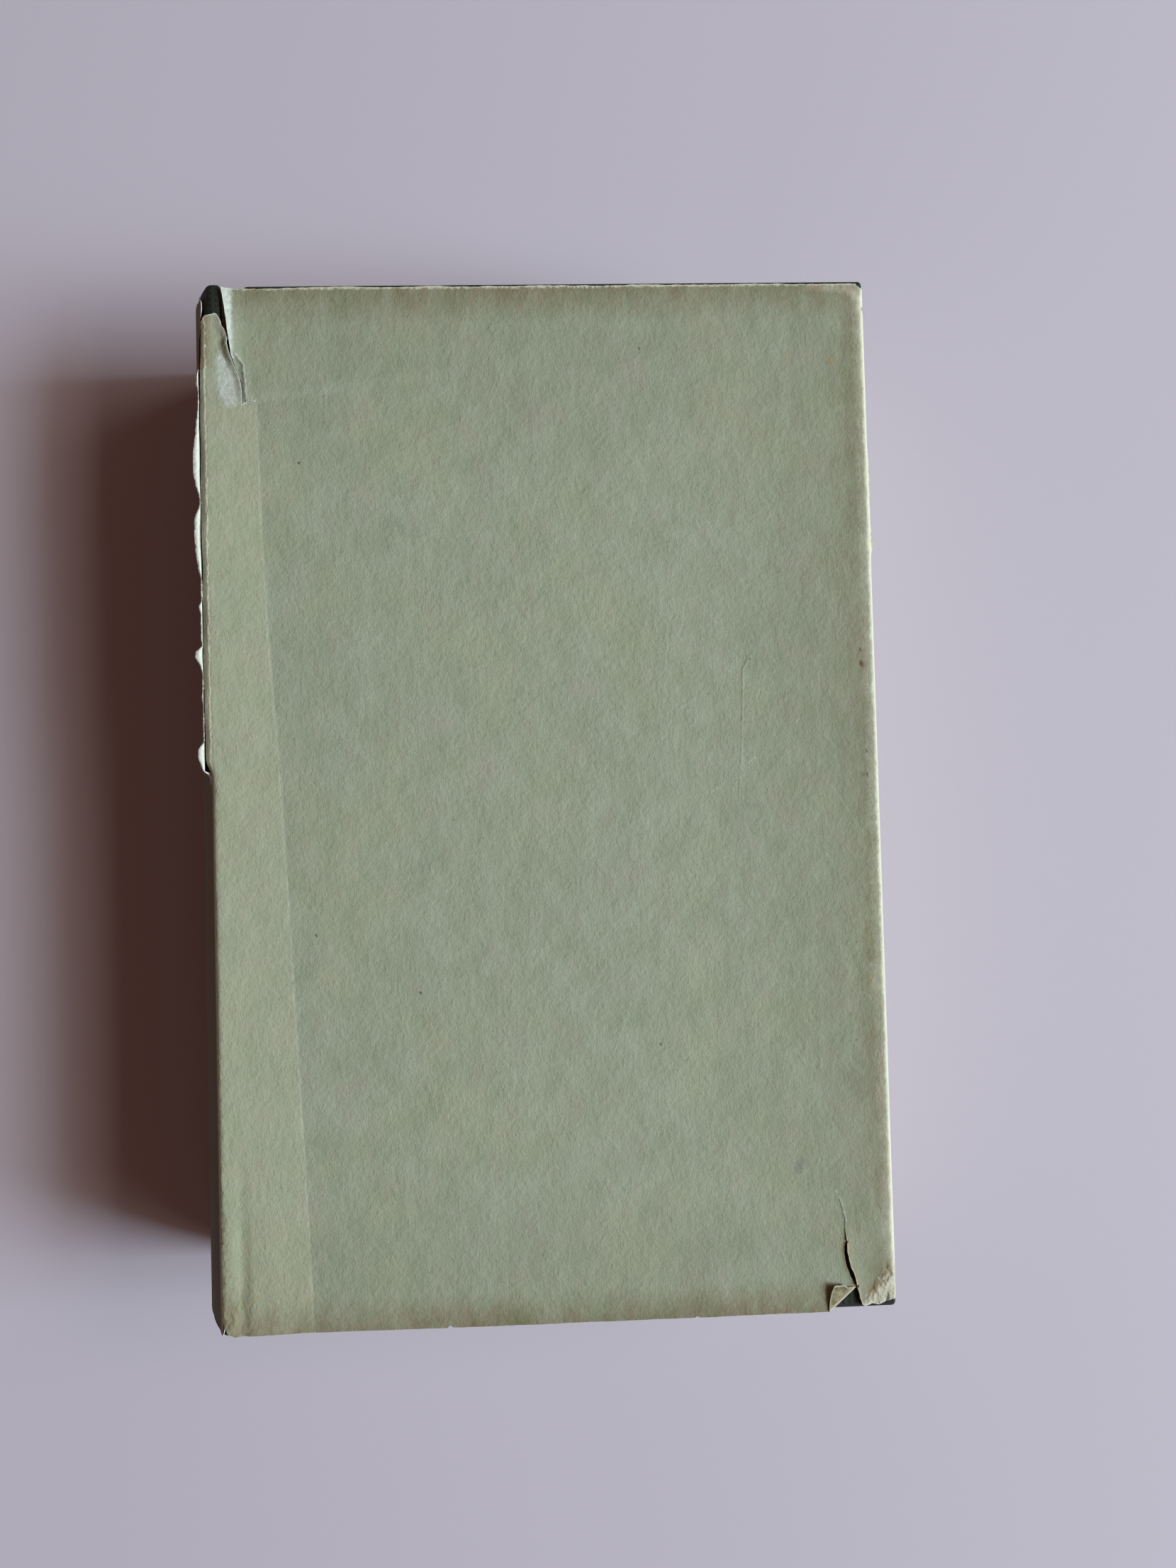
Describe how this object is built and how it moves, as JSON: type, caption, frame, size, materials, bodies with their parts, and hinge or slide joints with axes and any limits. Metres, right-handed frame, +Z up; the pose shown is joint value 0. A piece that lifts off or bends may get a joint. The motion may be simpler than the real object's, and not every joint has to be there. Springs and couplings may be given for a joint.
{
  "type": "hardcover book",
  "caption": "Cloth-cased hardback with a round spine and opening covers, in a plain, worn and torn pale green paper jacket.",
  "frame": {"origin": "middle of the book's outline on the surface it lies on", "axes": "+Z up through the front cover, +Y towards the head, +X towards the fore-edge, spine at -X"},
  "size_m": [0.1495, 0.2224, 0.0494],
  "materials": {
    "leaf_paper": "aged uncoated book paper, cut edges",
    "endpaper": "aged uncoated endpaper",
    "mull": "open starched gauze",
    "lining_paper": "brown kraft paper",
    "band_silk": "woven head band, plain",
    "book_cloth": "dark green book cloth, starch filled",
    "jacket_paper": "pale green uncoated jacket paper, worn",
    "millboard": "grey millboard"
  },
  "bodies": {
    "text_block": {"text_block": "leaf_paper", "front_flyleaf": "endpaper", "back_flyleaf": "endpaper", "spine_mull": "mull", "spine_lining": "lining_paper", "head_band": "band_silk", "tail_band": "band_silk", "spine_stiffener": "lining_paper", "spine_cloth": "book_cloth", "jacket_spine": "jacket_paper"},
    "front_cover": {"front_board": "millboard", "front_cloth": "book_cloth", "front_mull_flange": "mull", "front_pastedown": "endpaper", "jacket_front": "jacket_paper"},
    "back_cover": {"back_board": "millboard", "back_cloth": "book_cloth", "back_mull_flange": "mull", "back_pastedown": "endpaper", "jacket_back": "jacket_paper"}
  },
  "joints": [
    {"name": "front_hinge", "type": "hinge", "parent": "text_block", "child": "front_cover", "pos_m": [-0.06525, 0, 0.04657], "axis": [0, -1, 0], "range_deg": [0, 178]},
    {"name": "back_hinge", "type": "hinge", "parent": "text_block", "child": "back_cover", "pos_m": [-0.06525, 0, 0.00193], "axis": [0, 1, 0], "range_deg": [0, 178]}
  ]
}
